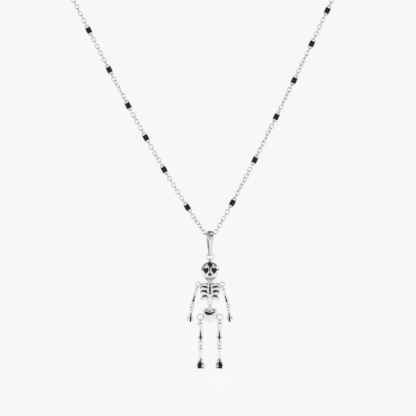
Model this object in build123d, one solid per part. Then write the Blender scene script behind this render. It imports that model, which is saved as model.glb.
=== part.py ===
from build123d import *
import os
from math import atan, cos, degrees, radians, sin, tan

# A jointed silver skeleton pendant on a cable chain with enamel stations.
# Millimetres, +Z up, the skeleton faces -Y. The origin is the point of the wearer's neck
# straight above the pendant, level with the chain's two upper ends.

# ---- driving dimensions -------------------------------------------------------------------
PENDANT_DROP = 72.9         # from the origin down to the top of the bail

LINK_LENGTH = 1.78          # one oval chain link, outside
LINK_WIDTH = 1.45
LINK_WIRE = 0.30
LINK_PLAY = 0.03            # free gap between two hooked links
STATION_LENGTH = 3.60       # long link that carries a sleeve of enamel
STATION_WIDTH = 1.50
ENAMEL_SIZE = (2.10, 1.62, 0.86)
LINKS_LEFT = (8, 9, 7, 7, 8, 9, 11)       # links before, between and after the stations
LINKS_RIGHT = (9, 10, 10, 8, 8, 7, 6)

# Chain route from the left end through the bail to the right end, measured from the bail's top.
CHAIN_ROUTE = (
    (-43.3, 73.8), (-36.3, 60.0), (-24.75, 37.8), (-13.8, 18.3), (-6.9, 7.2), (-1.0, -1.55),
    (1.0, -1.55), (6.6, 8.1), (13.2, 20.7), (25.2, 45.0), (34.8, 65.1), (39.1, 74.7),
)
BAIL_BEND = 1.70            # radius of the chain's bend under the bail's top

END_RING = (1.30, 0.40)     # centreline radius and wire of the rings at the chain's ends
CLASP_THICKNESS = 1.80
LEVER_THICKNESS = 0.80
RIVET_RADIUS = 0.22

BAIL_TOP_RADIUS = 1.55      # outer radius of the loop that the chain runs through
BAIL_TOP_WALL = 0.42
BAIL_FOOT_RADIUS = 0.87     # outer radius of the loop's lower end
BAIL_FOOT_WALL = 0.42
BAIL_WIDTHS = (1.70, 0.84)  # strap width at the top and at the foot
BAIL_TURN = 17.0            # degrees that the bail stands turned on the chain

RUN_GAP = 0.09              # radial clearance between a ring's wire and the eye it runs in
EYE_WALL = 0.25
EYE_WIDTH = 0.46            # along the hole
KNOB_START = 0.46           # a bone's knob starts this far from its eye's centre

# Rings: centre x, centre z below the bail's top, centreline radius, wire
BAIL_RING = (0.0, -7.80, 1.07, 0.42)
WAIST_RING = (0.0, -21.78, 0.68, 0.36)
SHOULDER_RING = (3.60, -16.15, 0.76, 0.38)
ELBOW_RING = (5.42, -22.55, 0.62, 0.32)
HIP_RING = (2.90, -26.00, 0.95, 0.40)
KNEE_RING = (2.80, -33.90, 0.68, 0.36)

UPPER_ARM_TILT = 17.4       # degrees out from the vertical
FOREARM_TILT = 6.0

SKULL_CROWN = -9.20
SKULL_CHIN = -15.10
SKULL_HALF_WIDTH = 2.75
SKULL_EYE_RADIUS = 0.75     # outer radius of the loop on the crown
NECK_RADIUS = 0.78

RIB_BOTTOMS = (-16.80, -18.15, -19.60, -21.00)
RIB_TOP = -15.80
RIB_HALF_WIDTHS = (2.55, 3.00, 3.00, 2.85)
RIB_HALF_DEPTH = 1.15
RIB_EDGE = 0.42             # rounding of each rib
RIB_OVERLAP = 0.12
SLOT_SIZE = (1.35, 0.36)
SLOT_X = 1.75
STERNUM_WIDTH = 1.20

PELVIS_THICKNESS = 1.60
HAND_RADIUS = 1.18
FOOT_LENGTH = 3.40
ENAMEL_DEPTH = 0.40         # of the pelvis's recess
FACE_DEPTH = 1.15           # of the eyes, nose and brow, from the face's foremost point
MOUTH_DEPTH = 1.75          # the mouth lies further back on the round jaw
ENAMEL_SINK = 0.07          # enamel lies this far below the metal around it


# ---- small shapes -------------------------------------------------------------------------
def along_x(shape):
    """Turn a shape built along Z so that it lies along X."""
    return Rot(0, 90, 0) * shape


def wire_ring(radius, wire):
    """Round ring standing in the XZ plane, centred on the origin."""
    return Rot(90, 0, 0) * Torus(radius, wire / 2)


def eye(ring_wire):
    """Cast eye around the origin with its hole along X, for a ring of the given wire."""
    hole = ring_wire / 2 + RUN_GAP
    return along_x(Cylinder(hole + EYE_WALL, EYE_WIDTH)) - along_x(Cylinder(hole, 2 * EYE_WIDTH))


def eye_hole(ring_wire):
    """What has to stay open around an eye's centre."""
    return along_x(Cylinder(ring_wire / 2 + RUN_GAP, 6 * EYE_WIDTH))


def ring_channel(ring, side=1):
    """Space swept by a ring with its running clearance, at the ring's own place."""
    x, z, radius, wire = ring
    return Pos(side * x, 0, z) * wire_ring(radius, wire + 2 * RUN_GAP)


def ring_point(ring, angle, side=1):
    """Point on a ring's wire centre, the angle counted from straight down, outwards."""
    x, z, radius, wire = ring
    return Vector(side * (x + radius * sin(radians(angle))), 0, z - radius * cos(radians(angle)))


def turned_bone(length, profile):
    """Bone hanging from the origin down to -length; profile holds (share of length, radius)."""
    start = -KNOB_START
    reach = length - 2 * KNOB_START
    edge_points = [(radius, start - share * reach) for share, radius in profile]
    top, foot = edge_points[0], edge_points[-1]
    outline = Spline(*edge_points)
    ends = Line(foot, (0, foot[1])) + Line((0, foot[1]), (0, top[1])) + Line((0, top[1]), top)
    return revolve(Plane.XZ * make_face(outline + ends), Axis.Z)


def drop_outline(top, bottom, half_width):
    """Drop shape in the XZ plane: a point at the top and a round foot at the bottom."""
    foot_z = bottom + half_width
    foot = ThreePointArc((-half_width, foot_z), (0, bottom), (half_width, foot_z))
    sides = Line((half_width, foot_z), (0, top)) + Line((0, top), (-half_width, foot_z))
    return Plane.XZ * make_face(foot + sides)


def heart_outline(width, height):
    """Heart in the XZ plane, its point down at the origin."""
    shoulder = height - width / 4
    left = ThreePointArc((0, shoulder), (-width / 4, height), (-width / 2, shoulder))
    right = ThreePointArc((width / 2, shoulder), (width / 4, height), (0, shoulder))
    left_side = ThreePointArc((-width / 2, shoulder), (-width / 3, height * 0.36), (0, 0))
    right_side = ThreePointArc((0, 0), (width / 3, height * 0.36), (width / 2, shoulder))
    return Plane.XZ * make_face(left + left_side + right_side + right)


def front_prism(outline, front_y, depth):
    """Prism of an XZ outline from in front of the piece back to a depth behind front_y."""
    reach = 2.0
    prism = extrude(outline, amount=reach + depth, dir=(0, 1, 0))
    return Pos(0, front_y - reach, 0) * prism


def inlay(body, prism):
    """Split a body into its metal and a slightly sunken filling of the prism."""
    filling = (Pos(0, ENAMEL_SINK, 0) * body) & prism & body
    return body - prism, filling


# ---- chain --------------------------------------------------------------------------------
def corner_radius(before, corner, after):
    """Largest fair arc at a route corner: 0.45 of the shorter run over tan(half the turn)."""
    first = Vector(*corner) - Vector(*before)
    second = Vector(*after) - Vector(*corner)
    half_turn = radians(first.get_angle(second)) / 2
    return 0.45 * min(first.length, second.length) / tan(half_turn)


def chain_path():
    """Route of the whole chain, straight runs joined by tangent arcs."""
    points = [(x, 0, z) for x, z in CHAIN_ROUTE]
    radii = []
    for before, corner, after in zip(points, points[1:], points[2:]):
        inside_bail = abs(corner[0]) <= 1.0
        radii.append(BAIL_BEND if inside_bail else corner_radius(before, corner, after))
    print("chain arc radii:", [round(radius, 1) for radius in radii])
    return FilletPolyline(*points, radius=radii)


def oval_link(length, width, wire):
    """One link in the XY plane, long side along X."""
    bend = (width - wire) / 2
    half_run = length / 2 - wire / 2 - bend
    edges = (
        Line((0, bend), (half_run, bend)),
        ThreePointArc((half_run, bend), (half_run + bend, 0), (half_run, -bend)),
        Line((half_run, -bend), (-half_run, -bend)),
        ThreePointArc((-half_run, -bend), (-half_run - bend, 0), (-half_run, bend)),
        Line((-half_run, bend), (0, bend)),
    )
    section = Plane(origin=(0, bend, 0), z_dir=(1, 0, 0)) * Circle(wire / 2)
    return sweep(section, path=Wire([edge.edge() for edge in edges]))


def link_frame(path, start, end, roll):
    """Place of a link hooked between two points of the path, turned by roll about its length."""
    first = path.position_at(start, position_mode=PositionMode.LENGTH)
    last = path.position_at(end, position_mode=PositionMode.LENGTH)
    plane = Plane(origin=(first + last) / 2, x_dir=last - first, z_dir=(0, 1, 0))
    return plane.location * Rot(roll, 0, 0)


def chain_side(path, middle, direction, link_counts):
    """Links and stations of one side, from the bail out, and the arc length where they end."""
    link = oval_link(LINK_LENGTH, LINK_WIDTH, LINK_WIRE)
    station = oval_link(STATION_LENGTH, STATION_WIDTH, LINK_WIRE)
    sleeve_block = fillet(Box(*ENAMEL_SIZE).edges(), 0.30)
    sleeve = sleeve_block - station
    link_pitch = LINK_LENGTH - 2 * LINK_WIRE - LINK_PLAY
    station_pitch = STATION_LENGTH - 2 * LINK_WIRE - LINK_PLAY
    links, stations, sleeves = [], [], []
    at = middle + direction * link_pitch / 2
    for index, count in enumerate(link_counts):
        quarter_turns = round((count + 1) / 2) * 2
        step = 90 * quarter_turns / (count + 1)
        for number in range(1, count + 1):
            reach = at + direction * link_pitch
            links.append(link_frame(path, at, reach, number * step) * link)
            at = reach
        if index < len(link_counts) - 1:
            reach = at + direction * station_pitch
            frame = link_frame(path, at, reach, 0)
            stations.append(frame * station)
            sleeves.append(frame * sleeve)
            at = reach
    return links, stations, sleeves, at


def end_frame(path, at, direction, roll):
    """Frame at a point of the path with X pointing outwards along it."""
    tangent = path.position_at(at + direction, position_mode=PositionMode.LENGTH)
    origin = path.position_at(at, position_mode=PositionMode.LENGTH)
    return Plane(origin=origin, x_dir=tangent - origin, z_dir=(0, 1, 0)).location * Rot(roll, 0, 0)


def end_ring():
    """Round ring hooked on the origin, reaching out along X."""
    radius, wire = END_RING
    return Pos(radius - wire / 2 - LINK_PLAY / 2, 0, 0) * Torus(radius, wire / 2)


# ---- clasp, built along X from the point where its tail hooks the ring -----------------------
CLASP_CENTRE = 5.0
CLASP_HALF = (4.2, 2.2)
CLASP_HOLE = (5.35, 2.95, 1.15)     # centre x, half length, half width
TAIL_EYE = (0.85, 0.45)             # outer and hole radius
LEVER_PIVOT = (2.95, 1.10)
GATE = (3.05, 8.20)                 # the lever closes the claw between these two x


def clasp_outline():
    return Pos(CLASP_CENTRE, 0) * Ellipse(*CLASP_HALF)


def clasp_hole():
    x, half_length, half_width = CLASP_HOLE
    return Pos(x, 0) * Ellipse(half_length, half_width)


def centred(sketch, thickness):
    """Plate of a sketch, half its thickness on each side of the XY plane."""
    return extrude(sketch, amount=thickness / 2, both=True)


def clasp_body():
    tail_x = TAIL_EYE[1] - END_RING[1] / 2
    tail = Pos(tail_x, 0) * Circle(TAIL_EYE[0])
    plate = centred(clasp_outline(), CLASP_THICKNESS)
    plate = fillet(plate.edges(), 0.3) + centred(tail, CLASP_THICKNESS - 0.6)
    plate -= centred(clasp_hole(), 3)
    plate -= centred(Pos(tail_x, 0) * Circle(TAIL_EYE[1]), 3)
    gate_middle = (GATE[0] + 1.1 + GATE[1]) / 2
    gate = Pos(gate_middle, 1.6) * Rectangle(GATE[1] - GATE[0] - 1.1, 3.2)
    plate -= centred(gate, 3)
    slot = Pos(3.0, 1.70) * Rectangle(3.6, 2.7)
    plate -= centred(slot, LEVER_THICKNESS + 0.2)
    plate -= Pos(*LEVER_PIVOT) * Cylinder(RIVET_RADIUS, 3)
    return plate


def clasp_lever():
    band = clasp_outline() - clasp_hole()
    reach = Pos((GATE[0] + GATE[1]) / 2, 1.75) * Rectangle(GATE[1] - GATE[0] - 0.12, 2.9)
    hub = Pos(*LEVER_PIVOT) * Circle(0.5)
    thumb = Pos(2.75, 2.0) * Rot(0, 0, 20) * SlotOverall(1.9, 0.7, rotation=90)
    lever = centred((band & reach) + hub + thumb, LEVER_THICKNESS)
    return lever - Pos(*LEVER_PIVOT) * Cylinder(RIVET_RADIUS + 0.05, 3)


def clasp_rivet():
    return Pos(*LEVER_PIVOT) * Cylinder(RIVET_RADIUS, CLASP_THICKNESS)


def clasp_spring():
    """Leaf spring standing in the slot behind the lever's hub."""
    return Pos(1.30, 1.00, 0) * Box(0.12, 1.10, LEVER_THICKNESS - 0.1)


# ---- bail ---------------------------------------------------------------------------------
def loop_outline(top_radius, top_z, foot_radius, foot_z):
    """Tapered loop seen from the side, in the YZ plane: two arcs joined by tangent lines."""
    lean = degrees(atan((top_radius - foot_radius) / (top_z - foot_z)))
    cosine, sine = cos(radians(lean)), sin(radians(lean))
    top_side = (top_radius * cosine, top_z + top_radius * sine)
    foot_side = (foot_radius * cosine, foot_z + foot_radius * sine)
    mirror_top = (-top_side[0], top_side[1])
    mirror_foot = (-foot_side[0], foot_side[1])
    outline = (
        Line(foot_side, top_side)
        + ThreePointArc(top_side, (0, top_z + top_radius), mirror_top)
        + Line(mirror_top, mirror_foot)
        + ThreePointArc(mirror_foot, (0, foot_z - foot_radius), foot_side)
    )
    return Plane.YZ * make_face(outline)


def bail():
    top_z = -BAIL_TOP_RADIUS
    ring_top = ring_point(BAIL_RING, 180).Z
    foot_z = ring_top + 0.05
    outer = loop_outline(BAIL_TOP_RADIUS, top_z, BAIL_FOOT_RADIUS, foot_z)
    inner = loop_outline(BAIL_TOP_RADIUS - BAIL_TOP_WALL, top_z,
                         BAIL_FOOT_RADIUS - BAIL_FOOT_WALL, foot_z)
    strap = extrude(outer - inner, amount=BAIL_WIDTHS[0], both=True)
    half_top, half_foot = BAIL_WIDTHS[0] / 2, BAIL_WIDTHS[1] / 2
    front = Polyline((-half_top, 1), (half_top, 1), (half_top, -2.6), (half_foot, foot_z),
                     (half_foot, -9), (-half_foot, -9), (-half_foot, foot_z), (-half_top, -2.6),
                     close=True)
    strap &= extrude(Plane.XZ * make_face(front), amount=4, both=True)
    return Rot(0, 0, BAIL_TURN) * strap


# ---- torso --------------------------------------------------------------------------------
def skull_solid():
    """Cranium, cheeks and jaw as one turned form."""
    middle = SKULL_CROWN - SKULL_HALF_WIDTH * 0.98
    crown, chin = (0.35, SKULL_CROWN), (0.90, SKULL_CHIN)
    outline = Spline(
        crown, (SKULL_HALF_WIDTH * 0.74, SKULL_CROWN - 0.85), (SKULL_HALF_WIDTH, middle),
        (SKULL_HALF_WIDTH * 0.82, middle - 1.45), (1.62, SKULL_CHIN + 1.00), (1.42, SKULL_CHIN + 0.30),
        chin)
    closing = Polyline(chin, (0, SKULL_CHIN), (0, SKULL_CROWN), crown)
    return revolve(Plane.XZ * make_face(outline + closing), Axis.Z)


def skull_and_enamel():
    skull = skull_solid()
    front = -SKULL_HALF_WIDTH
    eyes = [Pos(side * 1.20, 0, -12.70) * heart_outline(1.55, 1.60) for side in (-1, 1)]
    nose = Pos(0, 0, -12.35) * Rot(0, 180, 0) * heart_outline(1.15, 0.95)
    crease = drop_outline(-11.0, -12.2, 0.12)
    patch = Pos(0, 0, -10.10) * (Plane.XZ * RectangleRounded(1.05, 1.30, 0.3))
    mouth = Pos(0, 0, -14.15) * (Plane.XZ * SlotOverall(2.70, 0.42))
    teeth = [Pos(x, 0, -14.15) * (Plane.XZ * Rectangle(0.30, 0.60))
             for x in (-0.90, -0.45, 0.0, 0.45, 0.90)]
    for tooth in teeth:
        mouth -= tooth
    fillings = {}
    for name, outlines, depth in (("skull_eyes", eyes, FACE_DEPTH),
                                  ("skull_nose", [nose], FACE_DEPTH),
                                  ("skull_brow", [patch, crease], FACE_DEPTH),
                                  ("skull_mouth", [mouth], MOUTH_DEPTH)):
        prism = Part() + [front_prism(outline, front, depth) for outline in outlines]
        skull, fillings[name] = inlay(skull, prism)
    ring_bottom = ring_point(BAIL_RING, 0)
    loop_outer = along_x(Cylinder(SKULL_EYE_RADIUS, EYE_WIDTH + 0.2))
    skull += Pos(ring_bottom) * loop_outer
    skull -= Pos(ring_bottom) * eye_hole(BAIL_RING[3])
    skull -= ring_channel(BAIL_RING)
    return skull, fillings


def ribcage_and_enamel(skull_block):
    cage = Part()
    top = RIB_TOP
    for half_width, bottom in zip(RIB_HALF_WIDTHS, RIB_BOTTOMS):
        rib = extrude(Pos(0, 0, bottom) * Ellipse(half_width, RIB_HALF_DEPTH), amount=top - bottom)
        cage += fillet(rib.edges(), RIB_EDGE)
        top = bottom + RIB_OVERLAP
    cage += Pos(0, 0, -15.6) * Cylinder(NECK_RADIUS, 1.8)
    front = -RIB_HALF_DEPTH
    slots = [Pos(side * SLOT_X, 0, z + RIB_OVERLAP / 2) * (Plane.XZ * SlotOverall(*SLOT_SIZE))
             for z in RIB_BOTTOMS[:3] for side in (-1, 1)]
    groove = drop_outline(-16.55, -18.85, 0.17)
    throat = Pos(0, 0, -16.15) * (Plane.XZ * Circle(0.22))
    slot_prism = Part() + [front_prism(slot, front, 0.75) for slot in slots]
    cage, slot_enamel = inlay(cage, slot_prism)
    sternum = Pos(0, front + 0.10, -18.45) * Box(STERNUM_WIDTH, 0.70, 4.9)
    cage += fillet(sternum.edges(), 0.22)
    groove_prism = Part() + [front_prism(shape, front - 0.2, 0.55) for shape in (groove, throat)]
    cage, groove_enamel = inlay(cage, groove_prism)
    for side in (-1, 1):
        boss = Pos(side * (SHOULDER_RING[0] - SHOULDER_RING[2] - 0.18), 0, SHOULDER_RING[1])
        cage += boss * fillet(Cylinder(0.62, 0.62).edges(), 0.15)
        cage -= ring_channel(SHOULDER_RING, side)
    waist_top = ring_point(WAIST_RING, 180)
    cage += Pos(waist_top) * along_x(Cylinder(WAIST_RING[3] / 2 + RUN_GAP + EYE_WALL, EYE_WIDTH))
    cage -= Pos(waist_top) * eye_hole(WAIST_RING[3])
    cage -= ring_channel(WAIST_RING)
    cage -= skull_block
    return cage, slot_enamel + groove_enamel


# ---- pelvis -------------------------------------------------------------------------------
def pelvis_and_enamel():
    plate = Part()
    for x, z, radius in ((-1.0, -24.25, 1.12), (1.0, -24.25, 1.12), (0, -25.35, 1.95)):
        disc = Rot(90, 0, 0) * Cylinder(radius, PELVIS_THICKNESS)
        plate += Pos(x, 0, z) * fillet(disc.edges(), 0.45)
    recess = Plane.XZ * (
        Pos(-0.78, -24.45) * Rot(0, 0, -14) * RectangleRounded(1.45, 0.85, 0.25)
        + Pos(0.80, -24.35) * Rot(0, 0, 28) * RectangleRounded(1.30, 0.50, 0.2)
    )
    plate, enamel = inlay(plate, front_prism(recess, -PELVIS_THICKNESS / 2, ENAMEL_DEPTH))
    for side in (-1, 1):
        boss = Pos(side * (HIP_RING[0] - HIP_RING[2] - 0.15), 0, HIP_RING[1])
        plate += boss * fillet(Cylinder(0.62, 0.70).edges(), 0.15)
        plate -= ring_channel(HIP_RING, side)
    waist_bottom = ring_point(WAIST_RING, 0)
    post_foot = -23.9
    post_height = waist_bottom.Z - KNOB_START - post_foot
    plate += Pos(0, 0, post_foot + post_height / 2) * Cylinder(0.50, post_height)
    plate += Pos(waist_bottom) * eye(WAIST_RING[3])
    plate -= Pos(waist_bottom) * eye_hole(WAIST_RING[3])
    return plate, enamel


# ---- limbs: built hanging from the origin, then tilted and placed -------------------------------
UPPER_ARM_PROFILE = ((0, 0.40), (0.10, 0.56), (0.30, 0.44), (0.55, 0.43), (0.85, 0.60), (1, 0.46))
FOREARM_PROFILE = ((0, 0.40), (0.10, 0.54), (0.30, 0.44), (0.55, 0.44), (0.80, 0.56), (1, 0.60))
THIGH_PROFILE = ((0, 0.56), (0.10, 0.80), (0.24, 0.72), (0.48, 0.58), (0.84, 0.84), (1, 0.60))
SHIN_PROFILE = ((0, 0.52), (0.09, 0.74), (0.24, 0.60), (0.48, 0.50), (0.80, 0.74), (1, 0.84))


def limb(length, profile, top_wire, foot_wire):
    """Turned bone with an eye at its top and, where a ring follows, one at its foot."""
    shape = turned_bone(length, profile) + eye(top_wire)
    if foot_wire:
        shape += Pos(0, 0, -length) * eye(foot_wire)
    return shape


def grooved(shape, top, bottom, half_width, front):
    """Limb with a drop-shaped enamelled groove down its front."""
    return inlay(shape, front_prism(drop_outline(top, bottom, half_width), front, 0.30))


def hand():
    """Flat rounded palm."""
    palm = Rot(90, 0, 0) * Cylinder(HAND_RADIUS, 1.10)
    return Pos(0, 0, -3.45) * fillet(palm.edges(), 0.40)


def foot():
    """Short foot: a rounded block with its toes forward and a flat sole."""
    heel = Box(2.50, FOOT_LENGTH, 2.35)
    return Pos(0, 1.15 - FOOT_LENGTH / 2, -5.95) * fillet(heel.edges(), 0.62)


def upper_arm(length):
    shape = limb(length, UPPER_ARM_PROFILE, SHOULDER_RING[3], ELBOW_RING[3])
    return grooved(shape, -2.6, -4.6, 0.17, -0.55)


def forearm():
    shape = limb(4.4, FOREARM_PROFILE, ELBOW_RING[3], None) + hand()
    return grooved(shape, -1.3, -4.25, 0.20, -0.55)


def thigh(length):
    shape = limb(length, THIGH_PROFILE, HIP_RING[3], KNEE_RING[3])
    return grooved(shape, -3.3, -5.3, 0.25, -0.75)


def shin():
    shape = limb(6.2, SHIN_PROFILE, KNEE_RING[3], None) + foot()
    shape, ankle = grooved(shape, -3.5, -4.6, 0.16, -0.62)
    patch = drop_outline(-5.1, -6.5, 0.62)
    shape, instep = inlay(shape, front_prism(patch, -2.0, 1.0))
    return shape, ankle + instep


def hang(shape, point, tilt, side):
    """Place a limb at its eye's point, leaning outwards by tilt degrees."""
    return Pos(point) * Rot(0, side * -tilt, 0) * shape


# ---- the whole piece ------------------------------------------------------------------------
def limb_nodes(nodes, name, side):
    shoulder = ring_point(SHOULDER_RING, UPPER_ARM_TILT, side)
    elbow_top = ring_point(ELBOW_RING, 180 + UPPER_ARM_TILT, side)
    elbow_foot = ring_point(ELBOW_RING, FOREARM_TILT, side)
    hip = ring_point(HIP_RING, 0, side)
    knee_top = ring_point(KNEE_RING, 180, side)
    knee_foot = ring_point(KNEE_RING, 0, side)
    arm_tilt = degrees(atan(abs((elbow_top - shoulder).X / (elbow_top - shoulder).Z)))
    leg_tilt = degrees(atan(abs(hip.X - knee_top.X) / (hip.Z - knee_top.Z)))
    pieces = (
        ("upper_arm", upper_arm((elbow_top - shoulder).length), shoulder, arm_tilt),
        ("forearm", forearm(), elbow_foot, FOREARM_TILT),
        ("thigh", thigh((knee_top - hip).length), hip, -leg_tilt),
        ("shin", shin(), knee_foot, 0),
    )
    for piece, (metal, enamel), point, tilt in pieces:
        nodes[f"{piece}_{name}"] = hang(metal, point, tilt, side)
        nodes[f"{piece}_{name}_enamel"] = hang(enamel, point, tilt, side)
    rings = (("shoulder", SHOULDER_RING), ("elbow", ELBOW_RING), ("hip", HIP_RING),
             ("knee", KNEE_RING))
    for joint, (x, z, radius, wire) in rings:
        nodes[f"{joint}_ring_{name}"] = Pos(side * x, 0, z) * wire_ring(radius, wire)


def pendant_nodes():
    nodes = {"bail": bail()}
    for name, (x, z, radius, wire) in (("bail_ring", BAIL_RING), ("waist_ring", WAIST_RING)):
        nodes[name] = Pos(x, 0, z) * wire_ring(radius, wire)
    nodes["skull"], fillings = skull_and_enamel()
    nodes.update(fillings)
    nodes["ribcage"], nodes["ribcage_enamel"] = ribcage_and_enamel(skull_solid())
    nodes["pelvis"], nodes["pelvis_enamel"] = pelvis_and_enamel()
    limb_nodes(nodes, "left", -1)
    limb_nodes(nodes, "right", 1)
    return nodes


def chain_nodes():
    path = chain_path()
    middle = min(range(2001), key=lambda i: abs((path @ (i / 2000)).X)) / 2000 * path.length
    link_pitch = LINK_LENGTH - 2 * LINK_WIRE - LINK_PLAY
    centre_link = link_frame(path, middle - link_pitch / 2, middle + link_pitch / 2, 0)
    nodes = {"chain_centre_link": centre_link * oval_link(LINK_LENGTH, LINK_WIDTH, LINK_WIRE)}
    for name, direction, counts in (("left", -1, LINKS_LEFT), ("right", 1, LINKS_RIGHT)):
        links, stations, sleeves, end = chain_side(path, middle, direction, counts)
        nodes[f"chain_links_{name}"] = links
        nodes[f"station_links_{name}"] = stations
        nodes[f"station_enamel_{name}"] = sleeves
        frame = end_frame(path, end, direction, 0)
        print(f"chain {name}: {abs(end - middle):.1f} mm, ends at", frame.position)
        nodes[f"end_ring_{name}"] = frame * end_ring()
        if name == "left":
            tail = frame * Pos(2 * END_RING[0] - END_RING[1] - LINK_PLAY, 0, 0) * Rot(90, 0, 0)
            nodes["clasp_body"] = tail * clasp_body()
            nodes["clasp_lever"] = tail * clasp_lever()
            nodes["clasp_rivet"] = tail * clasp_rivet()
            nodes["clasp_spring"] = tail * clasp_spring()
            pivot = tail * Pos(LEVER_PIVOT[0], LEVER_PIVOT[1], 0)
            print("lever pivot", pivot.position - Vector(0, 0, PENDANT_DROP),
                  "axis", Plane(pivot).z_dir)
    return nodes


def solids_of(shape):
    """All solids of a shape or of a list of shapes."""
    shapes = shape if isinstance(shape, list) else [shape]
    return [solid for item in shapes for solid in item.solids()]


os.makedirs("parts", exist_ok=True)
for node, shape in {**chain_nodes(), **pendant_nodes()}.items():
    solids = [Pos(0, 0, -PENDANT_DROP) * solid for solid in solids_of(shape)]
    whole = solids[0] if len(solids) == 1 else Compound(children=solids)
    export_step(whole, f"parts/{node}.step")
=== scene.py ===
from math import cos, hypot, pi, radians, sin

import bmesh
import bpy
from mathutils import Matrix, Vector
from mathutils.bvhtree import BVHTree


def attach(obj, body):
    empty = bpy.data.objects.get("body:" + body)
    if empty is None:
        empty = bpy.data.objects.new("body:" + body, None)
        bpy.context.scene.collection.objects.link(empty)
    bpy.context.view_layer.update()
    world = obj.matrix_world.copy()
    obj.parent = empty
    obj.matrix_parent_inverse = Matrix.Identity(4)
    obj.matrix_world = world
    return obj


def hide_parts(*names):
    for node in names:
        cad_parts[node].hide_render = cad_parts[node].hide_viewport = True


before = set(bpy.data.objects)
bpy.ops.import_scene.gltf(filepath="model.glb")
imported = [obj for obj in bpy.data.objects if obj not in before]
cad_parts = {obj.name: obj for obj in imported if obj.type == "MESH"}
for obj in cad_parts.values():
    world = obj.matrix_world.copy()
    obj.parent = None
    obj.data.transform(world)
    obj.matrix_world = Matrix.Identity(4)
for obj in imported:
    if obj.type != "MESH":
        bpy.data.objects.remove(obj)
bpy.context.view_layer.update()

# Lengths below are in millimetres measured from the top of the bail (x, y, z with z down
# negative) and are turned into metres and moved to the neck's origin when a mesh is made.
MM = 0.001
DROP = 72.9                     # from the neck's origin down to the top of the bail

# Rings: centre x, centre z, centreline radius, wire
BAIL_RING = (0.0, -7.80, 1.07, 0.42)
WAIST_RING = (0.0, -21.78, 0.68, 0.36)
SHOULDER_RING = (3.60, -16.15, 0.76, 0.38)
ELBOW_RING = (5.42, -22.55, 0.62, 0.32)
HIP_RING = (2.90, -26.00, 0.95, 0.40)
KNEE_RING = (2.80, -33.90, 0.68, 0.36)
UPPER_ARM_TILT = 17.4
FOREARM_TILT = 6.0
RUN_GAP = 0.09
EYE_WALL = 0.25
EYE_WIDTH = 0.46


# ---- materials ----------------------------------------------------------------------------
def new_material(name):
    material = bpy.data.materials.new(name)
    material.use_nodes = True
    tree = material.node_tree
    return material, tree, tree.nodes["Principled BSDF"]


def add_node(tree, kind, **inputs):
    node = tree.nodes.new(kind)
    for key, value in inputs.items():
        node.inputs[key.replace("_", " ")].default_value = value
    return node


def ramp_between(tree, source, low, high, low_at, high_at):
    """Map a grey value onto two colours between two positions."""
    ramp = tree.nodes.new("ShaderNodeValToRGB")
    ramp.color_ramp.elements[0].position = low_at
    ramp.color_ramp.elements[0].color = low
    ramp.color_ramp.elements[1].position = high_at
    ramp.color_ramp.elements[1].color = high
    tree.links.new(source, ramp.inputs["Fac"])
    return ramp


def silver_material(name, tone, polish, crevice_shade):
    """Polished silver: soft casting waves, fine scratches, and painted shade that turns the base colour
    warm dark brown in the hollows through an occlusion mask.
    """
    material, tree, shader = new_material(name)
    shader.inputs["Metallic"].default_value = 1.0
    place = tree.nodes.new("ShaderNodeTexCoord")
    waves = add_node(tree, "ShaderNodeTexNoise", Scale=900.0, Detail=3.0, Roughness=0.5)
    scratches = tree.nodes.new("ShaderNodeMapping")
    scratches.inputs["Scale"].default_value = (9000.0, 9000.0, 1200.0)
    lines = add_node(tree, "ShaderNodeTexNoise", Scale=1.0, Detail=4.0, Roughness=0.7)
    tree.links.new(place.outputs["Object"], waves.inputs["Vector"])
    tree.links.new(place.outputs["Object"], scratches.inputs["Vector"])
    tree.links.new(scratches.outputs["Vector"], lines.inputs["Vector"])
    # Painted shade: an occlusion mask darkens the base colour towards a warm brown in hollows and
    # between parts, where shade falls.
    crevice_occlusion = tree.nodes.new("ShaderNodeAmbientOcclusion")
    crevice_occlusion.samples = 8
    crevice_occlusion.inputs["Distance"].default_value = 0.0005
    painted_crevice_shade = ramp_between(tree, crevice_occlusion.outputs["AO"], crevice_shade, (tone, tone, tone, 1), 0.18, 0.72)
    tree.links.new(painted_crevice_shade.outputs["Color"], shader.inputs["Base Color"])
    gloss = ramp_between(tree, lines.outputs["Fac"], (polish, polish, polish, 1),
                         (polish + 0.12, polish + 0.12, polish + 0.12, 1), 0.35, 0.75)
    tree.links.new(gloss.outputs["Color"], shader.inputs["Roughness"])
    bump = add_node(tree, "ShaderNodeBump", Strength=0.12, Distance=0.00002)
    tree.links.new(waves.outputs["Fac"], bump.inputs["Height"])
    tree.links.new(bump.outputs["Normal"], shader.inputs["Normal"])
    return material


def enamel_material():
    """Glossy black enamel with a faint cloud and a dull orange-peel surface."""
    material, tree, shader = new_material("black_enamel")
    place = tree.nodes.new("ShaderNodeTexCoord")
    cloud = add_node(tree, "ShaderNodeTexNoise", Scale=1600.0, Detail=3.0)
    tree.links.new(place.outputs["Object"], cloud.inputs["Vector"])
    colour = ramp_between(tree, cloud.outputs["Fac"], (0.004, 0.004, 0.005, 1),
                          (0.016, 0.014, 0.015, 1), 0.35, 0.7)
    tree.links.new(colour.outputs["Color"], shader.inputs["Base Color"])
    rough = ramp_between(tree, cloud.outputs["Fac"], (0.10, 0.10, 0.10, 1),
                         (0.28, 0.28, 0.28, 1), 0.3, 0.75)
    tree.links.new(rough.outputs["Color"], shader.inputs["Roughness"])
    bump = add_node(tree, "ShaderNodeBump", Strength=0.2, Distance=0.00002)
    tree.links.new(cloud.outputs["Fac"], bump.inputs["Height"])
    tree.links.new(bump.outputs["Normal"], shader.inputs["Normal"])
    shader.inputs["Specular IOR Level"].default_value = 0.25
    shader.inputs["Coat Weight"].default_value = 0.12
    shader.inputs["Coat Roughness"].default_value = 0.08
    return material


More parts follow.
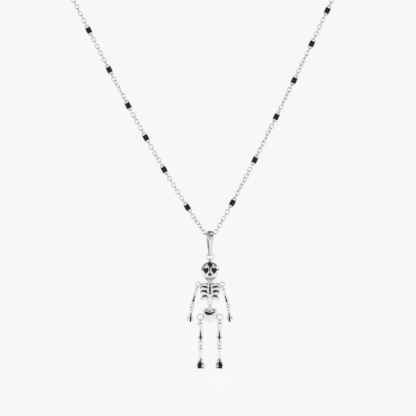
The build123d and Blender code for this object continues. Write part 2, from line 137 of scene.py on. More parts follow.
def steel_material():
    material, tree, shader = new_material("spring_steel")
    shader.inputs["Metallic"].default_value = 1.0
    place = tree.nodes.new("ShaderNodeTexCoord")
    grain = add_node(tree, "ShaderNodeTexNoise", Scale=5000.0, Detail=4.0)
    tree.links.new(place.outputs["Object"], grain.inputs["Vector"])
    colour = ramp_between(tree, grain.outputs["Fac"], (0.42, 0.42, 0.44, 1),
                          (0.62, 0.62, 0.63, 1), 0.3, 0.7)
    tree.links.new(colour.outputs["Color"], shader.inputs["Base Color"])
    shader.inputs["Roughness"].default_value = 0.32
    return material


# The last colour of each silver is the painted shade in its hollows.
SILVER = silver_material("polished_silver", 0.89, 0.07, (0.20, 0.16, 0.125, 1))
CHAIN_SILVER = silver_material("chain_silver", 0.82, 0.12, (0.22, 0.21, 0.20, 1))
STRAP_SILVER = silver_material("strap_silver", 0.80, 0.09, (0.20, 0.17, 0.14, 1))
ENAMEL = enamel_material()
STEEL = steel_material()


# ---- mesh helpers: built in millimetres, stored in metres -------------------------------------
def store(name, builder, body, material, nodes=(), smooth=True):
    """Turn a bmesh in millimetres into a finished object that rides on a body."""
    mesh = bpy.data.meshes.new(name)
    if smooth:
        for face in builder.faces:
            face.smooth = True
    builder.to_mesh(mesh)
    builder.free()
    piece = bpy.data.objects.new(name, mesh)
    bpy.context.scene.collection.objects.link(piece)
    finish_piece(piece, body, material, nodes)
    return piece


def finish_piece(piece, body, material, nodes):
    piece.data.transform(Matrix.Scale(MM, 4) @ Matrix.Translation((0, 0, -DROP)))
    piece.data.materials.clear()
    piece.data.materials.append(material)
    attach(piece, body)
    if nodes:
        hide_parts(*nodes)


def add_ball(builder, centre, radii, turn=None):
    """Ellipsoid; turn is a rotation matrix."""
    grown = bmesh.ops.create_uvsphere(builder, u_segments=40, v_segments=24, radius=1)
    scale = Matrix.Diagonal((*radii, 1))
    place = Matrix.Translation(centre) @ (turn or Matrix.Identity(4)) @ scale
    bmesh.ops.transform(builder, matrix=place, verts=grown["verts"])


def add_rod(builder, start, end, start_radius, end_radius, flat=1.0):
    """Round bar between two points with rounded ends; flat squeezes it front to back."""
    start, end = Vector(start), Vector(end)
    along = end - start
    turn = along.to_track_quat("Z", "Y").to_matrix().to_4x4()
    grown = bmesh.ops.create_cone(builder, cap_ends=True, segments=32, radius1=start_radius,
                                  radius2=end_radius, depth=along.length)
    place = Matrix.Translation((start + end) / 2) @ turn
    bmesh.ops.transform(builder, matrix=place, verts=grown["verts"])
    if flat != 1.0:
        middle_y = (start.y + end.y) / 2
        for vert in grown["verts"]:
            vert.co.y = middle_y + (vert.co.y - middle_y) * flat
    add_ball(builder, start, (start_radius, start_radius * flat, start_radius))
    add_ball(builder, end, (end_radius, end_radius * flat, end_radius))


def add_tube(builder, points, radius, closed, sides=16):
    """Round wire along points; a tube of one section per point."""
    count = len(points)
    rings = []
    reference = Vector((0, 1, 0))
    for index, point in enumerate(points):
        before = points[index - 1] if closed or index else points[index]
        after = points[(index + 1) % count] if closed or index < count - 1 else points[index]
        along = (Vector(after) - Vector(before)).normalized()
        if abs(along.dot(reference)) > 0.95:
            reference = Vector((0, 0, 1))
        across = along.cross(reference).normalized()
        up = across.cross(along).normalized()
        ring = []
        for side in range(sides):
            angle = 2 * pi * side / sides
            offset = across * cos(angle) + up * sin(angle)
            ring.append(builder.verts.new(Vector(point) + offset * radius))
        rings.append(ring)
    spans = count if closed else count - 1
    for index in range(spans):
        lower, upper = rings[index], rings[(index + 1) % count]
        for side in range(sides):
            following = (side + 1) % sides
            builder.faces.new((lower[side], lower[following], upper[following], upper[side]))
    if not closed:
        builder.faces.new(list(reversed(rings[0])))
        builder.faces.new(rings[-1])
    return [vert for ring in rings for vert in ring]


def ring_points(centre, radius, plane="XZ", start=0.0, sweep=360.0, count=72):
    """Points of a circle or an open arc around centre."""
    points = []
    closed = sweep >= 360.0
    steps = count if closed else count - 1
    for index in range(count):
        angle = radians(start + sweep * index / steps)
        a, b = radius * cos(angle), radius * sin(angle)
        offset = {"XZ": (a, 0, b), "YZ": (0, a, b), "XY": (a, b, 0)}[plane]
        points.append(Vector(centre) + Vector(offset))
    return points


def add_eye(builder, centre, hole, wall, width, axis="X"):
    """Cast eye as a ring around centre, widened along its hole's axis."""
    plane = {"X": "YZ", "Z": "XY"}[axis]
    middle = hole + wall / 2
    grown = add_tube(builder, ring_points((0, 0, 0), middle, plane, count=40), wall / 2, True, 14)
    for vert in grown:
        if axis == "X":
            vert.co.x *= width / wall
        else:
            vert.co.z *= width / wall
        vert.co += Vector(centre)


def remeshed(builder, name, voxel, rounds):
    """Fuse overlapping closed forms into one cast skin and smooth away the voxel steps."""
    mesh = bpy.data.meshes.new(name)
    builder.to_mesh(mesh)
    builder.free()
    piece = bpy.data.objects.new(name, mesh)
    bpy.context.scene.collection.objects.link(piece)
    fuse = piece.modifiers.new("fuse", "REMESH")
    fuse.mode = "VOXEL"
    fuse.voxel_size = voxel
    soften = piece.modifiers.new("soften", "SMOOTH")
    soften.factor = 0.5
    soften.iterations = rounds
    applied = bpy.data.meshes.new_from_object(
        piece.evaluated_get(bpy.context.evaluated_depsgraph_get()))
    bpy.data.objects.remove(piece)
    bpy.data.meshes.remove(mesh)
    return applied


def engrave(mesh, field, depth, edge):
    """Push the front skin inwards where the field (distance inside a shape) is positive."""
    facing = [vert.normal.y for vert in mesh.vertices]
    for vert, normal_y in zip(mesh.vertices, facing):
        if normal_y > 0.25:
            continue
        inside = field(vert.co.x, vert.co.z)
        if inside > -edge:
            share = min(1.0, (inside + edge) / edge)
            share = share * share * (3 - 2 * share)
            vert.co.y += depth * share


def enamel_patch(mesh, field, box, step, lift, thickness):
    """Closed enamel filling laid on the engraved skin inside a shape's field."""
    tree = BVHTree.FromPolygons([v.co for v in mesh.vertices],
                                [p.vertices for p in mesh.polygons])
    x_low, z_low, x_high, z_high = box
    columns = int((x_high - x_low) / step) + 1
    rows = int((z_high - z_low) / step) + 1
    builder = bmesh.new()
    grid = {}
    for row in range(rows):
        for column in range(columns):
            x, z = x_low + column * step, z_low + row * step
            inside = field(x, z)
            if inside < -step * 0.2:
                continue
            hit = tree.ray_cast(Vector((x, -8, z)), Vector((0, 1, 0)))
            if hit[0] is None:
                continue
            crown = lift * min(1.0, max(0.0, inside) / (2.5 * step))
            grid[column, row] = builder.verts.new((x, hit[0].y - crown, z))
    for (column, row), vert in grid.items():
        corners = [grid.get(key) for key in ((column, row), (column + 1, row),
                                             (column + 1, row + 1), (column, row + 1))]
        if all(corners):
            builder.faces.new(corners)
    loose = [vert for vert in builder.verts if not vert.link_faces]
    bmesh.ops.delete(builder, geom=loose, context="VERTS")
    skin = list(builder.faces)
    grown = bmesh.ops.extrude_face_region(builder, geom=skin)
    back = [item for item in grown["geom"] if isinstance(item, bmesh.types.BMVert)]
    for vert in back:
        vert.co.y += thickness
    bmesh.ops.recalc_face_normals(builder, faces=builder.faces)
    return builder


# ---- shape fields: distance inside an outline in the XZ plane ----------------------------------
def heart_field(cx, cz, width, height, flip=1):
    """Heart with its point down (flip=-1 turns it over)."""
    def field(x, z):
        u = (x - cx) / (width / 2)
        v = flip * (z - cz) / (height / 2)
        v = v * 1.05 + 0.10
        edge = 1.0 - (u * u + (v - 0.72 * abs(u) ** 0.62 + 0.28) ** 2) ** 0.5
        return edge * width / 2
    return field


def slot_field(ax, az, bx, bz, ra, rb=None):
    """Round-ended slot from a to b whose half width runs from ra to rb."""
    rb = ra if rb is None else rb
    length = hypot(bx - ax, bz - az)

    def field(x, z):
        share = ((x - ax) * (bx - ax) + (z - az) * (bz - az)) / (length * length)
        share = min(1.0, max(0.0, share))
        distance = hypot(x - ax - share * (bx - ax), z - az - share * (bz - az))
        return ra + (rb - ra) * share - distance
    return field


def joined(*fields):
    return lambda x, z: max(field(x, z) for field in fields)


def mirrored(field):
    return joined(field, lambda x, z: field(-x, z))


def inlaid(mesh, field, box, depth, step=0.045, lift=0.03, edge=0.08):
    """Engrave a shape into the skin and return the enamel that fills it."""
    engrave(mesh, field, depth, edge)
    mesh.update()
    return enamel_patch(mesh, field, box, step, lift, 0.12)


def metal_from_mesh(name, mesh, body, nodes):
    for face in mesh.polygons:
        face.use_smooth = True
    piece = bpy.data.objects.new(name, mesh)
    bpy.context.scene.collection.objects.link(piece)
    finish_piece(piece, body, SILVER, nodes)
    return piece


# ---- chain --------------------------------------------------------------------------------
LINK_LENGTH = 1.78
LINK_WIDTH = 1.45
LINK_WIRE = 0.30
LINK_PLAY = 0.03
STATION_LENGTH = 3.60
STATION_WIDTH = 1.50
LINKS = {"left": (8, 9, 7, 7, 8, 9, 11), "right": (9, 10, 10, 8, 8, 7, 6)}
UNEVEN_ROLL = 14               # degrees that a link may lie off its even roll
SLEEVE_SIZE = (2.10, 1.60, 0.86)

# The chain's route on each side, from the bail's bottom of the V to the upper end.
ROUTES = {
    "left": ((0.0, -1.55), (-1.0, -1.55), (-1.9, -0.35), (-6.9, 7.2), (-13.8, 18.3),
             (-24.75, 37.8), (-36.3, 60.0), (-43.3, 73.8)),
    "right": ((0.0, -1.55), (1.0, -1.55), (1.75, -0.35), (6.6, 8.1), (13.2, 20.7),
              (25.2, 45.0), (34.8, 65.1), (39.1, 74.7)),
}


def spline_points(route):
    """Even points along the smooth line of a route, in metres in the shared frame."""
    curve = bpy.data.curves.new("route", "CURVE")
    curve.dimensions = "3D"
    curve.resolution_u = 40
    spline = curve.splines.new("NURBS")
    spline.points.add(len(route) - 1)
    for point, (x, z) in zip(spline.points, route):
        point.co = (x * MM, 0, (z - DROP) * MM, 1)
    spline.order_u = 3
    spline.use_endpoint_u = True
    holder = bpy.data.objects.new("route", curve)
    bpy.context.scene.collection.objects.link(holder)
    bpy.context.view_layer.update()
    line = bpy.data.meshes.new_from_object(holder)
    points = [vert.co.copy() for vert in line.vertices]
    bpy.data.objects.remove(holder)
    bpy.data.curves.remove(curve)
    bpy.data.meshes.remove(line)
    return points


def point_at(points, distance):
    """Point at a distance along a polyline."""
    for before, after in zip(points, points[1:]):
        span = (after - before).length
        if distance <= span:
            return before + (after - before) * (distance / span)
        distance -= span
    last = (points[-1] - points[-2]).normalized()
    return points[-1] + last * distance


def trimmed(points, length):
    """The polyline cut off at a length along it."""
    kept = [points[0]]
    for before, after in zip(points, points[1:]):
        span = (after - before).length
        if span >= length:
            break
        kept.append(after)
        length -= span
    kept.append(point_at(points, sum((b - a).length for a, b in zip(kept, kept[1:])) + length))
    return kept


def link_outline(length, width, wire, steps=10):
    """Centre line of an oval link, long side along X, in the XY plane."""
    bend = (width - wire) / 2
    half_run = length / 2 - wire / 2 - bend
    points = []
    for end in (1, -1):
        for step in range(steps + 1):
            angle = radians(-90 + 180 * step / steps)
            points.append(Vector((end * (half_run + bend * cos(angle)), end * bend * sin(angle), 0)))
    return points


def add_link(builder, place, length, width, wire):
    for vert in add_tube(builder, link_outline(length, width, wire), wire / 2, True, 12):
        vert.co = place @ vert.co


def add_sleeve(builder, place):
    """Enamel sleeve: a rounded block with notched ends."""
    rows, sides = 18, 32
    length, width, thickness = SLEEVE_SIZE
    sections = []
    for row in range(rows + 1):
        share = -1 + 2 * row / rows
        swell = (1 - abs(share) ** 7) ** 0.5 if abs(share) < 1 else 0.0
        swell = max(swell, 0.35)
        section = []
        for side in range(sides):
            angle = 2 * pi * side / sides
            c, s = cos(angle), sin(angle)
            y = width / 2 * (abs(c) ** 0.6) * (1 if c >= 0 else -1) * swell
            z = thickness / 2 * (abs(s) ** 0.7) * (1 if s >= 0 else -1) * swell
            notch = 0.30 * max(0.0, 1 - abs(y) / (0.30 * width)) * abs(share) ** 3
            x = share * (length / 2 - notch)
            section.append(builder.verts.new(place @ Vector((x, y, z))))
        sections.append(section)
    for row in range(rows):
        for side in range(sides):
            following = (side + 1) % sides
            builder.faces.new((sections[row][side], sections[row + 1][side],
                               sections[row + 1][following], sections[row][following]))
    builder.faces.new(list(reversed(sections[0])))
    builder.faces.new(sections[-1])


def link_place(start, end, roll):
    """Matrix of a link hooked between two points, turned by roll degrees about its length."""
    along = (end - start).normalized()
    normal = Vector((0, 1, 0))
    across = normal.cross(along)
    turn = Matrix((along, across, normal)).transposed().to_4x4()
    return Matrix.Translation((start + end) / 2) @ turn @ Matrix.Rotation(radians(roll), 4, "X")


def build_chain(side):
    """Links, stations and enamel sleeves of one side."""
    route = spline_points(ROUTES[side])
    local = [Vector((p.x / MM, p.y / MM, p.z / MM + DROP)) for p in route]
    links, sleeves = bmesh.new(), bmesh.new()
    link_pitch = LINK_LENGTH - 2 * LINK_WIRE - LINK_PLAY
    station_pitch = STATION_LENGTH - 2 * LINK_WIRE - LINK_PLAY
    at = link_pitch / 2
    if side == "left":
        first = point_at(local, at)
        second = Vector((-first.x, first.y, first.z))
        add_link(links, link_place(second, first, 0), LINK_LENGTH, LINK_WIDTH, LINK_WIRE)
    counts = LINKS[side]
    for index, count in enumerate(counts):
        quarter_turns = round((count + 1) / 2) * 2
        step = 90 * quarter_turns / (count + 1)
        for number in range(1, count + 1):
            start, end = point_at(local, at), point_at(local, at + link_pitch)
            wobble = UNEVEN_ROLL * sin(2.3 * number + 1.7 * index + (0.8 if side == "left" else 2.9))
            place = link_place(start, end, number * step + wobble)
            add_link(links, place, LINK_LENGTH, LINK_WIDTH, LINK_WIRE)
            at += link_pitch
        if index < len(counts) - 1:
            start, end = point_at(local, at), point_at(local, at + station_pitch)
            place = link_place(start, end, 0)
            add_link(links, place, STATION_LENGTH, STATION_WIDTH, LINK_WIRE)
            add_sleeve(sleeves, place)
            at += station_pitch
    nodes = [f"chain_links_{side}", f"station_links_{side}"]
    if side == "left":
        nodes.append("chain_centre_link")
    chain = store(f"chain_{side}", links, "chain", CHAIN_SILVER, nodes)
    enamel = store(f"station_sleeves_{side}", sleeves, "chain", ENAMEL,
                   [f"station_enamel_{side}"])
    path = trimmed(route, at * MM)


# ---- rings --------------------------------------------------------------------------------
def jump_ring(name, body, ring, side=1, slit=60.0):
    """Round ring with the fine butt joint of a closed jump ring."""
    x, z, radius, wire = ring
    builder = bmesh.new()
    gap = 1.6
    points = ring_points((side * x, 0, z), radius, "XZ", slit + gap, 360 - 2 * gap, 90)
    add_tube(builder, points, wire / 2, False, 18)
    store(name + "_wire", builder, body, SILVER, [name])


def build_rings():
    jump_ring("bail_ring", "bail_ring", BAIL_RING, slit=35.0)
    jump_ring("waist_ring", "waist_ring", WAIST_RING, slit=150.0)
    for side, name in ((-1, "left"), (1, "right")):
        for joint, ring, slit in (("shoulder", SHOULDER_RING, 60), ("elbow", ELBOW_RING, 200),
                                  ("hip", HIP_RING, 110), ("knee", KNEE_RING, 20)):
            body = f"{joint}_ring_{name}"
            jump_ring(body, body, ring, side, slit if side > 0 else 180 - slit)


# ---- bail ---------------------------------------------------------------------------------
BAIL_TOP_RADIUS = 1.55
BAIL_FOOT_RADIUS = 0.87
BAIL_WALL = 0.42
BAIL_WIDTHS = (1.70, 0.84)
BAIL_TURN = 17.0
BAIL_SHOULDER = 2.6             # height of the rounded top above the straight taper


def bail_profile():
    """Side outline of the bail's outer face as (y, z), from the top down the front and back up."""
    shoulder = -BAIL_SHOULDER
    foot_z = BAIL_RING[1] + BAIL_RING[2] + 0.05
    front = []
    for step in range(1, 24):
        angle = radians(90 + 90 * step / 24)
        front.append((BAIL_TOP_RADIUS * cos(angle), shoulder + BAIL_SHOULDER * sin(angle)))
    for step in range(30):
        share = step / 30
        swell = share * share * (3 - 2 * share)
        half = BAIL_TOP_RADIUS + (BAIL_FOOT_RADIUS - BAIL_TOP_RADIUS) * swell
        front.append((-half, shoulder + (foot_z - shoulder) * share))
    for step in range(12):
        angle = radians(180 + 90 * step / 12)
        front.append((BAIL_FOOT_RADIUS * cos(angle), foot_z + BAIL_FOOT_RADIUS * sin(angle)))
    back = [(-y, z) for y, z in reversed(front)]
    return [(0.0, 0.0), *front, (0.0, foot_z - BAIL_FOOT_RADIUS), *back]


def build_bail():
    """Tapered strap bent into a loop, softly crowned across its width."""
    builder = bmesh.new()
    outline = [Vector((0, y, z)) for y, z in bail_profile()]
    turn = Matrix.Rotation(radians(BAIL_TURN), 4, "Z")
    across = 24
    rings = []
    for step, outer in enumerate(outline):
        along = outline[(step + 1) % len(outline)] - outline[step - 1]
        normal = Vector((0, -along.z, along.y)).normalized()
        if normal.dot(outer - Vector((0, 0, outline[0].z - 3.5))) < 0:
            normal.negate()
        share = min(1.0, max(0.0, (-outer.z - 1.2) / 5.4))
        half = (BAIL_WIDTHS[0] + (BAIL_WIDTHS[1] - BAIL_WIDTHS[0]) * share) / 2
        middle = outer - normal * BAIL_WALL / 2
        ring = []
        for side in range(across):
            angle = 2 * pi * side / across
            c, s = cos(angle), sin(angle)
            x = half * abs(c) ** 0.45 * (1 if c >= 0 else -1)
            crown = 0.70 + 0.30 * (1 - (x / half) ** 2)
            thick = BAIL_WALL / 2 * abs(s) ** 0.6 * (1 if s >= 0 else -1) * crown
            ring.append(builder.verts.new(turn @ (middle + normal * thick + Vector((x, 0, 0)))))
        rings.append(ring)
    for step, lower in enumerate(rings):
        upper = rings[(step + 1) % len(rings)]
        for side in range(across):
            following = (side + 1) % across
            builder.faces.new((lower[side], upper[side], upper[following], lower[following]))
    bmesh.ops.recalc_face_normals(builder, faces=builder.faces)
    store("bail_strap", builder, "bail", STRAP_SILVER, ["bail"])


# ---- torso --------------------------------------------------------------------------------
def build_skull():
    builder = bmesh.new()
    add_ball(builder, (0, 0.05, -11.85), (2.70, 2.45, 2.62))
    add_ball(builder, (0, -0.55, -12.9), (2.25, 1.75, 1.75))
    for side in (-1, 1):
        add_ball(builder, (side * 1.45, -0.75, -13.35), (0.75, 0.85, 0.62))
        add_ball(builder, (side * 1.15, -1.70, -11.95), (0.85, 0.45, 0.35),
                 Matrix.Rotation(radians(side * 8), 4, "Y"))
    add_ball(builder, (0, -0.45, -14.05), (1.58, 1.45, 0.85))
    add_ball(builder, (0, -0.75, -14.55), (1.28, 1.10, 0.52))
    add_rod(builder, (0, 0.1, -14.6), (0, 0.1, -15.7), 0.72, 0.70)
    add_eye(builder, (0, 0, -8.87), 0.30, 0.42, 0.66)
    mesh = remeshed(builder, "skull_cast", 0.05, 8)
    eyes = mirrored(heart_field(1.20, -11.78, 1.62, 1.70))
    nose = joined(slot_field(0, -12.65, 0.27, -13.10, 0.16, 0.30),
                  slot_field(0, -12.65, -0.27, -13.10, 0.16, 0.30))
    # Painted reflection: the brow patch and the line down the forehead are black inlay set where a dark
    # reflection falls.
    brow = joined(slot_field(-0.12, -9.75, 0.22, -10.25, 0.60, 0.50),
                  slot_field(-0.05, -10.4, -0.08, -12.6, 0.20, 0.10))
    mouth = slot_field(-1.30, -14.02, 1.30, -14.02, 0.20)
    gaps = [slot_field(x, -13.80, x * 0.95, -14.40, 0.085) for x in (-1.4, -0.8, -0.25, 0.3, 0.85, 1.4)]
    lips = joined(slot_field(-1.10, -14.36, 1.10, -14.36, 0.14), *gaps)
    parts = (("skull_eyes", eyes, (-2.2, -12.8, 2.2, -10.7), 0.22),
             ("skull_nose", nose, (-0.9, -13.6, 0.9, -12.3), 0.22),
             ("skull_brow", brow, (-0.9, -12.8, 0.9, -9.0), 0.10),
             ("skull_mouth", lips, (-1.7, -14.7, 1.7, -13.6), 0.10))
    engrave(mesh, mouth, 0.06, 0.1)
    for node, field, box, depth in parts:
        filling = inlaid(mesh, field, box, depth)
        store(node + "_glaze", filling, "torso", ENAMEL, [node])
    metal_from_mesh("skull_cast", mesh, "torso", ["skull"])


def build_ribcage():
    builder = bmesh.new()
    ribs = ((-16.15, 2.60, 0.46), (-17.30, 2.98, 0.52), (-18.70, 3.00, 0.56), (-20.05, 2.80, 0.52))
    add_ball(builder, (0, 0.05, -18.2), (2.85, 1.28, 2.75))
    for z, half, thick in ribs:
        for side in (-1, 1):
            droop = -0.35 if z < -20 else 0.06
            points = []
            for step in range(15):
                angle = radians(-96 + 192 * step / 14)
                x = side * (0.12 + (half - 0.12 - thick * 0.8) * cos(angle * 0.5) ** 0.4
                            * (0.25 + 0.75 * cos(angle) if abs(angle) < pi / 2 else 0.25))
                y = 0.95 * sin(angle)
                points.append((x, y, z + droop * max(0.0, cos(angle))))
            add_tube(builder, points, thick, False, 16)
        add_ball(builder, (0, 0, z), (half - 0.55, 0.70, 0.62))
    add_rod(builder, (0, -1.22, -16.3), (0, -1.12, -20.7), 0.62, 0.56, 0.62)
    add_rod(builder, (0, 0.85, -16.1), (0, 0.80, -20.9), 0.42, 0.40, 0.9)
    add_rod(builder, (0, 0.0, -15.2), (0, 0, -16.6), 0.76, 0.80)
    for side in (-1, 1):
        add_rod(builder, (side * 0.8, -0.25, -16.25), (side * 2.35, -0.05, -16.15), 0.50, 0.40)
        add_eye(builder, (side * (SHOULDER_RING[0] - SHOULDER_RING[2]), 0, SHOULDER_RING[1]),
                0.29, 0.30, 0.50, "Z")
    add_eye(builder, (0, 0, WAIST_RING[1] + WAIST_RING[2]), 0.27, 0.27, 0.50)
    mesh = remeshed(builder, "ribcage_cast", 0.05, 7)
    slots = joined(
        mirrored(slot_field(1.20, -16.78, 2.20, -16.58, 0.17, 0.20)),
        mirrored(slot_field(1.20, -18.02, 2.40, -18.00, 0.27, 0.20)),
        mirrored(slot_field(1.20, -19.40, 2.10, -19.55, 0.25, 0.18)))
    groove = joined(slot_field(0.0, -16.75, 0.0, -18.75, 0.31, 0.24),
                    slot_field(0.03, -15.90, 0.05, -16.10, 0.18, 0.26))
    engraved = joined(slots, groove)
    filling = inlaid(mesh, engraved, (-2.7, -20.2, 2.7, -15.6), 0.14)
    store("ribcage_glaze", filling, "torso", ENAMEL, ["ribcage_enamel"])
    metal_from_mesh("ribcage_cast", mesh, "torso", ["ribcage"])


# ---- pelvis -------------------------------------------------------------------------------
def build_pelvis():
    builder = bmesh.new()
    add_ball(builder, (0, 0, -25.35), (1.98, 0.80, 1.95))
    for side in (-1, 1):
        add_ball(builder, (side * 1.02, 0, -24.25), (1.10, 0.74, 1.05),
                 Matrix.Rotation(radians(side * 18), 4, "Y"))
        add_rod(builder, (side * 1.2, 0, -25.9), (side * 1.62, 0, -26.0), 0.42, 0.36)
        add_eye(builder, (side * (HIP_RING[0] - HIP_RING[2]), 0, HIP_RING[1]), 0.30, 0.28, 0.52, "Z")
    add_rod(builder, (0, 0, -22.95), (0, 0, -24.2), 0.44, 0.52)
    add_eye(builder, (0, 0, WAIST_RING[1] - WAIST_RING[2]), 0.27, 0.27, 0.50)
    mesh = remeshed(builder, "pelvis_cast", 0.045, 7)
    recess = joined(slot_field(-1.20, -24.45, -0.70, -24.70, 0.42, 0.44),
                    slot_field(-0.70, -24.72, 0.10, -24.80, 0.44, 0.34),
                    slot_field(0.10, -24.78, 1.40, -24.25, 0.30, 0.18))
    filling = inlaid(mesh, recess, (-1.8, -25.4, 1.8, -23.8), 0.12)
    store("pelvis_glaze", filling, "pelvis", ENAMEL, ["pelvis_enamel"])
    metal_from_mesh("pelvis_cast", mesh, "pelvis", ["pelvis"])


# ---- limbs --------------------------------------------------------------------------------
def ring_point(ring, angle, side):
    x, z, radius, wire = ring
    return Vector((side * (x + radius * sin(radians(angle))), 0, z - radius * cos(radians(angle))))


def limb_eye(builder, z, wire):
    add_eye(builder, (0, 0, z), wire / 2 + RUN_GAP - 0.01, EYE_WALL + 0.03, EYE_WIDTH + 0.08)


def finish_limb(builder, name, side, tilt, point, grooves, box, depth, body):
    """Remesh a limb, inlay its grooves, tilt it into place and store both pieces."""
    mesh = remeshed(builder, f"{name}_cast", 0.04, 6)
    filling = inlaid(mesh, grooves, box, depth, step=0.035)
    turn = Matrix.Translation(point) @ Matrix.Rotation(radians(side * -tilt), 4, "Y")
    bmesh.ops.transform(filling, matrix=turn, verts=filling.verts)
    mesh.transform(turn)
    store(f"{name}_glaze", filling, body, ENAMEL, [f"{name}_enamel"])
    metal_from_mesh(f"{name}_cast", mesh, body, [name])


def build_upper_arm(side, name):
    shoulder = ring_point(SHOULDER_RING, UPPER_ARM_TILT, side)
    elbow = ring_point(ELBOW_RING, 180 + UPPER_ARM_TILT, side)
    length = (elbow - shoulder).length
    builder = bmesh.new()
    limb_eye(builder, 0, SHOULDER_RING[3])
    limb_eye(builder, -length, ELBOW_RING[3])
    add_ball(builder, (0, 0, -0.80), (0.55, 0.52, 0.48))
    add_rod(builder, (0, 0, -0.8), (0, 0, -length + 0.9), 0.40, 0.42, 0.95)
    for edge in (-1, 1):
        add_ball(builder, (edge * 0.24, 0, -length + 0.80), (0.34, 0.48, 0.44))
    grooves = slot_field(0.0, -2.6, 0.0, -length + 0.95, 0.12, 0.24)
    finish_limb(builder, f"upper_arm_{name}", side, UPPER_ARM_TILT - 1.8, shoulder, grooves,
                (-0.4, -length + 0.5, 0.4, -2.4), 0.09, f"upper_arm_{name}")


def build_forearm(side, name):
    elbow = ring_point(ELBOW_RING, FOREARM_TILT, side)
    builder = bmesh.new()
    limb_eye(builder, 0, ELBOW_RING[3])
    add_ball(builder, (0, 0, -0.80), (0.54, 0.50, 0.46))
    add_rod(builder, (0, 0, -0.8), (0, 0, -2.6), 0.40, 0.42, 0.92)
    add_ball(builder, (side * 0.02, -0.02, -2.55), (0.50, 0.46, 0.42))
    add_ball(builder, (side * 0.08, 0, -3.35), (1.00, 0.48, 0.98))
    for index, spread in enumerate((-0.60, -0.20, 0.22, 0.62)):
        reach = (3.95, 4.22, 4.22, 4.00)[index]
        add_rod(builder, (side * spread * 0.8, 0, -3.35), (side * spread, -0.04, -reach + 0.27),
                0.27, 0.25, 1.2)
    add_rod(builder, (side * 0.75, -0.05, -2.9), (side * 0.98, -0.08, -3.55), 0.26, 0.22)
    grooves = joined(slot_field(0.0, -1.35, side * 0.05, -2.30, 0.10, 0.20),
                     slot_field(side * 0.03, -2.75, -side * 0.02, -3.85, 0.24, 0.26))
    finish_limb(builder, f"forearm_{name}", side, FOREARM_TILT, elbow, grooves,
                (-0.6, -4.3, 0.6, -1.1), 0.09, f"forearm_{name}")


def build_thigh(side, name):
    hip = ring_point(HIP_RING, 0, side)
    knee = ring_point(KNEE_RING, 180, side)
    length = (knee - hip).length
    builder = bmesh.new()
    limb_eye(builder, 0, HIP_RING[3])
    limb_eye(builder, -length, KNEE_RING[3])
    add_ball(builder, (0, 0, -1.00), (0.80, 0.66, 0.60))
    add_ball(builder, (side * 0.35, 0, -1.25), (0.52, 0.55, 0.55))
    add_rod(builder, (0, 0, -1.1), (0, 0, -length + 1.2), 0.56, 0.60, 0.92)
    for edge in (-1, 1):
        add_ball(builder, (edge * 0.36, -0.02, -length + 1.02), (0.48, 0.64, 0.66))
    grooves = slot_field(0.0, -3.10, 0.0, -length + 1.10, 0.10, 0.30)
    finish_limb(builder, f"thigh_{name}", side, -0.9, hip, grooves,
                (-0.6, -length + 0.6, 0.6, -2.9), 0.12, f"thigh_{name}")


def build_shin(side, name):
    knee = ring_point(KNEE_RING, 0, side)
    builder = bmesh.new()
    limb_eye(builder, 0, KNEE_RING[3])
    add_ball(builder, (0, 0, -0.85), (0.74, 0.64, 0.46))
    add_rod(builder, (0, 0, -0.9), (0, 0, -4.4), 0.50, 0.50, 0.95)
    add_ball(builder, (-side * 0.18, 0, -4.35), (0.58, 0.60, 0.60))
    add_ball(builder, (side * 0.26, 0.02, -4.45), (0.48, 0.55, 0.58))
    add_ball(builder, (0, 0.15, -5.35), (0.98, 0.98, 0.95))
    add_ball(builder, (side * 0.05, -0.55, -5.85), (1.24, 1.34, 0.95))
    for index, spread in enumerate((-0.78, -0.38, 0.02, 0.42, 0.80)):
        radius = (0.34, 0.28, 0.27, 0.26, 0.24)[index]
        add_rod(builder, (side * spread * 0.8, -0.9, -6.15), (side * spread, -1.75, -6.62),
                radius + 0.05, radius)
    add_ball(builder, (0, 0.30, -6.55), (1.02, 0.85, 0.50))
    grooves = joined(slot_field(0.0, -3.55, 0.0, -4.35, 0.10, 0.20),
                     # Painted reflection: the wide patch on the top of each foot is black inlay set
                     # where the instep shows a dark reflection.
                     slot_field(side * 0.22, -5.15, side * 0.30, -5.95, 0.60, 0.62),
                     slot_field(side * 0.30, -5.95, -side * 0.25, -6.15, 0.34, 0.20))
    finish_limb(builder, f"shin_{name}", side, 0, knee, grooves,
                (-1.3, -6.9, 1.3, -3.4), 0.08, f"shin_{name}")


# ---- put together -------------------------------------------------------------------------
build_chain("left")
build_chain("right")
build_rings()
build_bail()
build_skull()
build_ribcage()
build_pelvis()
for side, name in ((-1, "left"), (1, "right")):
    build_upper_arm(side, name)
    build_forearm(side, name)
    build_thigh(side, name)
    build_shin(side, name)

for node in ("end_ring_left", "end_ring_right", "clasp_body", "clasp_lever", "clasp_rivet"):
    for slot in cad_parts[node].material_slots:
        slot.material = SILVER
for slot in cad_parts["clasp_spring"].material_slots:
    slot.material = STEEL


# ---- stage, light and camera --------------------------------------------------------------
FLOOR_DROP = 45.0              # from the top of the bail down to the floor
FLOOR_Z = (-DROP - FLOOR_DROP) * MM
STUDIO_WHITE = 0.93
FLOOR_GLOW = 0.60               # lifts the paper to the same white as the wall behind it


def build_stage():
    mesh = bpy.data.meshes.new("studio_floor")
    builder = bmesh.new()
    corners = [(-2, -2, 0), (2, -2, 0), (2, 2, 0), (-2, 2, 0)]
    builder.faces.new([builder.verts.new(corner) for corner in corners])
    builder.to_mesh(mesh)
    builder.free()
    floor = bpy.data.objects.new("studio_floor", mesh)
    bpy.context.scene.collection.objects.link(floor)
    floor.location.z = FLOOR_Z
    material, tree, shader = new_material("studio_paper")
    shader.inputs["Base Color"].default_value = (0.80, 0.80, 0.80, 1)
    shader.inputs["Roughness"].default_value = 1.0
    shader.inputs["Specular IOR Level"].default_value = 0.0
    shader.inputs["Emission Color"].default_value = (1, 1, 1, 1)
    shader.inputs["Emission Strength"].default_value = FLOOR_GLOW
    floor.data.materials.append(material)


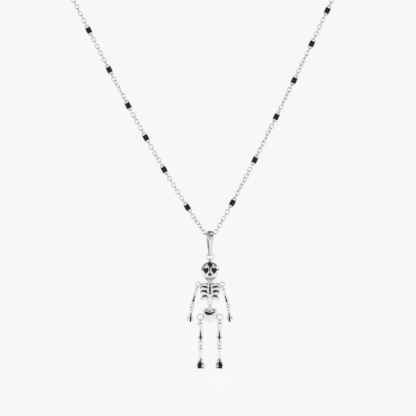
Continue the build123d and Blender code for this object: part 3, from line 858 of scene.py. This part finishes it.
def blend_over(tree, value, low, high, low_out, high_out):
    """Map a value from one span onto another, clamped."""
    span = tree.nodes.new("ShaderNodeMapRange")
    for socket, number in zip(span.inputs[1:5], (low, high, low_out, high_out)):
        socket.default_value = number
    tree.links.new(value, span.inputs["Value"])
    return span.outputs["Result"]


def maths(tree, operation, first, second):
    node = tree.nodes.new("ShaderNodeMath")
    node.operation = operation
    for socket, value in zip(node.inputs, (first, second)):
        if isinstance(value, (int, float)):
            socket.default_value = value
        else:
            tree.links.new(value, socket)
    return node.outputs[0]


def card_width(tree, x, centre, half):
    """One inside a card's span across x and nought outside it."""
    offset = maths(tree, "ABSOLUTE", maths(tree, "ADD", x, -centre), 0)
    return blend_over(tree, offset, half, half + 0.05, 1, 0)


def build_world():
    """White studio with a dim front, a dim ring behind the piece and two dark cards above."""
    world = bpy.data.worlds.new("studio")
    bpy.context.scene.world = world
    world.use_nodes = True
    tree = world.node_tree
    tree.nodes.clear()
    output = tree.nodes.new("ShaderNodeOutputWorld")
    place = tree.nodes.new("ShaderNodeTexCoord")
    axes = tree.nodes.new("ShaderNodeSeparateXYZ")
    tree.links.new(place.outputs["Generated"], axes.inputs["Vector"])
    x, y, z = (axes.outputs[name] for name in "XYZ")
    depth = blend_over(tree, y, -1, 1, 0, 1)
    wall = tree.nodes.new("ShaderNodeValToRGB")
    tones = ((0.0, 0.62), (0.06, 0.70), (0.14, 0.90), (0.34, 0.92), (0.55, 0.40), (0.90, 0.22),
             (0.975, STUDIO_WHITE))
    stops = wall.color_ramp.elements
    while len(stops) < len(tones):
        stops.new(0.5)
    for stop, (position, tone) in zip(stops, tones):
        stop.position = position
        stop.color = (tone, tone, min(1.0, tone * 1.01), 1)
    tree.links.new(depth, wall.inputs["Fac"])
    height = blend_over(tree, z, 0.32, 0.42, 0, 1)
    middle_card = card_width(tree, x, 0.0, 0.28)
    right_card = maths(tree, "MULTIPLY", card_width(tree, x, 0.54, 0.10),
                       blend_over(tree, z, 0.66, 0.74, 1, 0))
    slit = maths(tree, "SUBTRACT", 1.0, card_width(tree, x, 0.07, 0.03))
    cards = maths(tree, "MAXIMUM", maths(tree, "MULTIPLY", middle_card, slit), right_card)
    card = maths(tree, "MULTIPLY", cards, height)
    mix = tree.nodes.new("ShaderNodeMix")
    mix.data_type = "RGBA"
    tree.links.new(card, mix.inputs["Factor"])
    tree.links.new(wall.outputs["Color"], mix.inputs["A"])
    mix.inputs["B"].default_value = (0.012, 0.012, 0.012, 1)
    light = add_node(tree, "ShaderNodeBackground", Strength=1.0)
    tree.links.new(mix.outputs["Result"], light.inputs["Color"])
    tree.links.new(light.outputs["Background"], output.inputs["Surface"])


def build_key_light():
    """Soft sun from the right and behind, so that a faint shadow runs to the left."""
    light = bpy.data.lights.new("key", "SUN")
    light.energy = 0.18
    light.angle = radians(20)
    holder = bpy.data.objects.new("key", light)
    bpy.context.scene.collection.objects.link(holder)
    direction = Vector((-68, -35, -30))
    holder.rotation_euler = direction.to_track_quat("-Z", "Y").to_euler()


def build_camera():
    camera = bpy.data.cameras.new("camera")
    holder = bpy.data.objects.new("camera", camera)
    bpy.context.scene.collection.objects.link(holder)
    distance, view_width = 1.20, 0.1248
    camera.sensor_width = 36.0
    camera.lens = 36.0 * distance / view_width
    camera.clip_start, camera.clip_end = 0.05, 20.0
    holder.location = (-0.6 * MM, -distance, (6.9 - DROP) * MM)
    holder.rotation_euler = (radians(90), 0, 0)
    bpy.context.scene.camera = holder


build_stage()
build_world()
build_key_light()
build_camera()
bpy.context.scene.view_settings.view_transform = "Standard"
